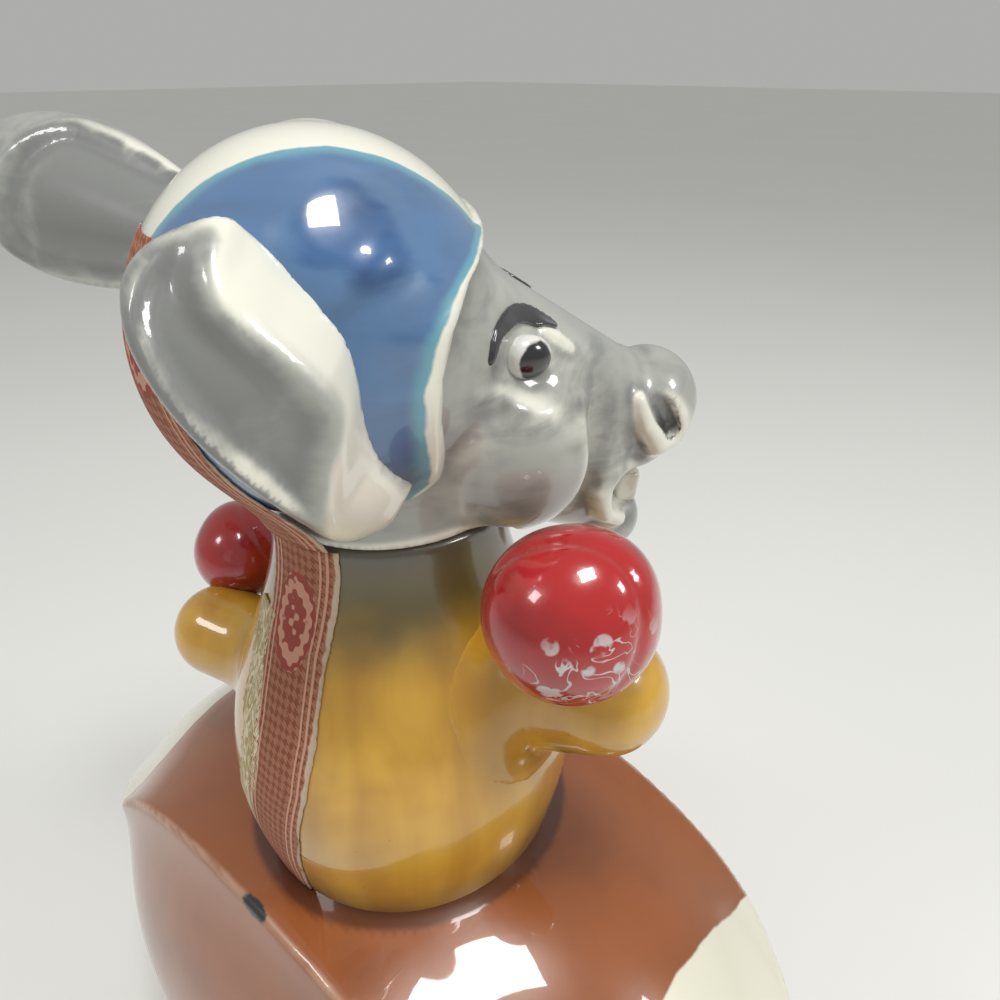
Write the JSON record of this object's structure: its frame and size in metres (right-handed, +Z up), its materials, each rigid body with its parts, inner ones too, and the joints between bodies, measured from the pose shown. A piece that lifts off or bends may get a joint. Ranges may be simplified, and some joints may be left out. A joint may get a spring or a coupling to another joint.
{
  "type": "figural decanter",
  "caption": "Glazed ceramic decanter: an animal figure in a helmet and boxing gloves rising out of a ball, whose head lifts off as a corked stopper.",
  "frame": {"origin": "under the middle of the ball, on the surface that the decanter stands on", "axes": "+Z up along the neck, the figure's chest towards -Y, X from side to side, with the ball's long axis 3 degrees off it"},
  "size_m": [0.1992, 0.1178, 0.2514],
  "materials": {
    "brown_glaze": "glossy translucent caramel glaze on earthenware",
    "yellow_glaze": "glossy mustard glaze on earthenware",
    "red_paint": "glossy red paint over the glaze, chipped",
    "grey_glaze": "glossy mottled grey glaze, cream where it thins",
    "blue_glaze": "glossy streaked cobalt glaze with cream bands",
    "white_glaze": "glossy white glaze",
    "black_glaze": "glossy black brushwork",
    "cork": "cut natural cork",
    "paper": "thin printed paper, matt"
  },
  "bodies": {
    "bottle": {"football_base": "brown_glaze", "torso": "yellow_glaze", "right_sleeve": "yellow_glaze", "left_sleeve": "yellow_glaze", "right_glove": "red_paint", "left_glove": "red_paint", "strip_on_torso": "paper"},
    "stopper": {"head": "grey_glaze", "helmet": "blue_glaze", "right_ear": "grey_glaze", "left_ear": "grey_glaze", "right_eye": "white_glaze", "left_eye": "white_glaze", "right_brow": "black_glaze", "left_brow": "black_glaze", "teeth": "white_glaze", "cork": "cork", "strip_on_helmet": "paper"}
  },
  "joints": [
    {"name": "stopper_lift", "type": "slide", "parent": "bottle", "child": "stopper", "axis": [0, 0, 1], "range_m": [0, 0.03]}
  ]
}
